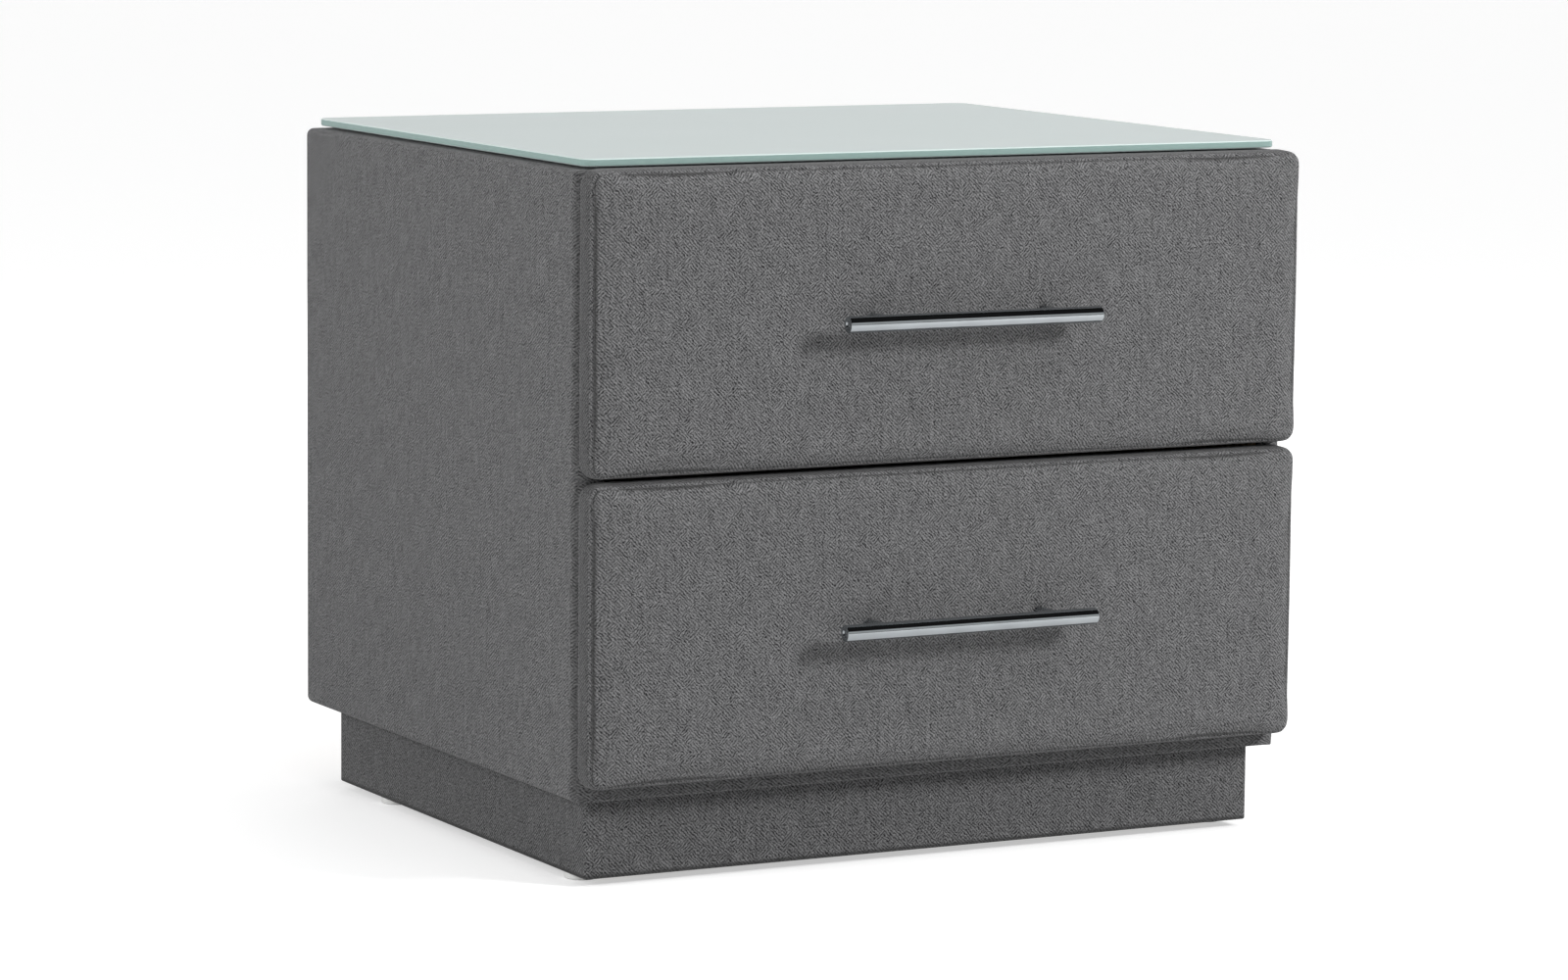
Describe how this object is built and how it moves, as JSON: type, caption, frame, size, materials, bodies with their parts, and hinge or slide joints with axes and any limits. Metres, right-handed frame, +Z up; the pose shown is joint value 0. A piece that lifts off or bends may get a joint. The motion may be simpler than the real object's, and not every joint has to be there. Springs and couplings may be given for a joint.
{
  "type": "nightstand with drawers",
  "caption": "Low bedside cabinet wrapped in grey fabric, with padded drawers on full-extension slides, round chrome bar handles, a recessed plinth and a frosted glass top.",
  "frame": {"origin": "on the floor, at the middle of the width and of the whole depth with the handles", "axes": "+Z up; the drawers open towards -Y; +X to the right seen from ahead"},
  "size_m": [0.53, 0.4891, 0.47],
  "materials": {
    "fabric": "woven melange grey upholstery fabric over thin foam, matt",
    "board": "raw particle board",
    "hardboard": "brown hardboard, smooth",
    "box_board": "pale grey melamine faced board, satin",
    "frosted_glass": "etched toughened glass, pale green, with a polished arris",
    "clear_bumper": "clear soft plastic",
    "glide_plastic": "moulded white plastic",
    "chrome": "polished chrome plate",
    "zinc_steel": "zinc plated steel"
  },
  "bodies": {
    "carcass": {"side_panel_left": "board", "side_panel_right": "board", "top_panel": "board", "bottom_panel": "board", "back_panel": "hardboard", "side_cover_left": "fabric", "side_cover_right": "fabric", "top_cover": "fabric", "bottom_cover": "fabric", "plinth_front": "board", "plinth_back": "board", "plinth_left": "board", "plinth_right": "board", "plinth_cover": "fabric", "plinth_blocks": "board", "glides": "glide_plastic", "glass_top": "frosted_glass", "glass_bumpers": "clear_bumper", "carcass_screws": "zinc_steel", "plinth_screws": "zinc_steel", "back_screws": "zinc_steel", "carcass_slide_screws": "zinc_steel", "upper_slide_outer_left": "zinc_steel", "upper_slide_outer_right": "zinc_steel", "lower_slide_outer_left": "zinc_steel", "lower_slide_outer_right": "zinc_steel"},
    "upper_drawer": {"upper_front_board": "board", "upper_front_cover": "fabric", "upper_box_front": "box_board", "upper_box_back": "box_board", "upper_box_bottom": "box_board", "upper_handle_bar": "chrome", "upper_handle_posts": "chrome", "upper_handle_screws": "zinc_steel", "upper_box_screws": "zinc_steel", "upper_front_screws": "zinc_steel", "upper_slide_screws": "zinc_steel", "upper_box_side_left": "box_board", "upper_slide_inner_left": "zinc_steel", "upper_box_side_right": "box_board", "upper_slide_inner_right": "zinc_steel"},
    "upper_slide_middles": {"upper_slide_middle_left": "zinc_steel", "upper_slide_middle_right": "zinc_steel"},
    "lower_drawer": {"lower_front_board": "board", "lower_front_cover": "fabric", "lower_box_front": "box_board", "lower_box_back": "box_board", "lower_box_bottom": "box_board", "lower_handle_bar": "chrome", "lower_handle_posts": "chrome", "lower_handle_screws": "zinc_steel", "lower_box_screws": "zinc_steel", "lower_front_screws": "zinc_steel", "lower_slide_screws": "zinc_steel", "lower_box_side_left": "box_board", "lower_slide_inner_left": "zinc_steel", "lower_box_side_right": "box_board", "lower_slide_inner_right": "zinc_steel"},
    "lower_slide_middles": {"lower_slide_middle_left": "zinc_steel", "lower_slide_middle_right": "zinc_steel"}
  },
  "joints": [
    {"name": "upper_drawer_slide", "type": "slide", "parent": "carcass", "child": "upper_drawer", "axis": [0, -1, 0], "range_m": [0, 0.38]},
    {"name": "upper_middle_slide", "type": "slide", "parent": "carcass", "child": "upper_slide_middles", "axis": [0, -1, 0], "range_m": [0, 0.19]},
    {"name": "lower_drawer_slide", "type": "slide", "parent": "carcass", "child": "lower_drawer", "axis": [0, -1, 0], "range_m": [0, 0.38]},
    {"name": "lower_middle_slide", "type": "slide", "parent": "carcass", "child": "lower_slide_middles", "axis": [0, -1, 0], "range_m": [0, 0.19]}
  ],
  "couplings": [
    {"joint": "upper_middle_slide", "follows": "upper_drawer_slide", "ratio": 0.5},
    {"joint": "lower_middle_slide", "follows": "lower_drawer_slide", "ratio": 0.5}
  ]
}
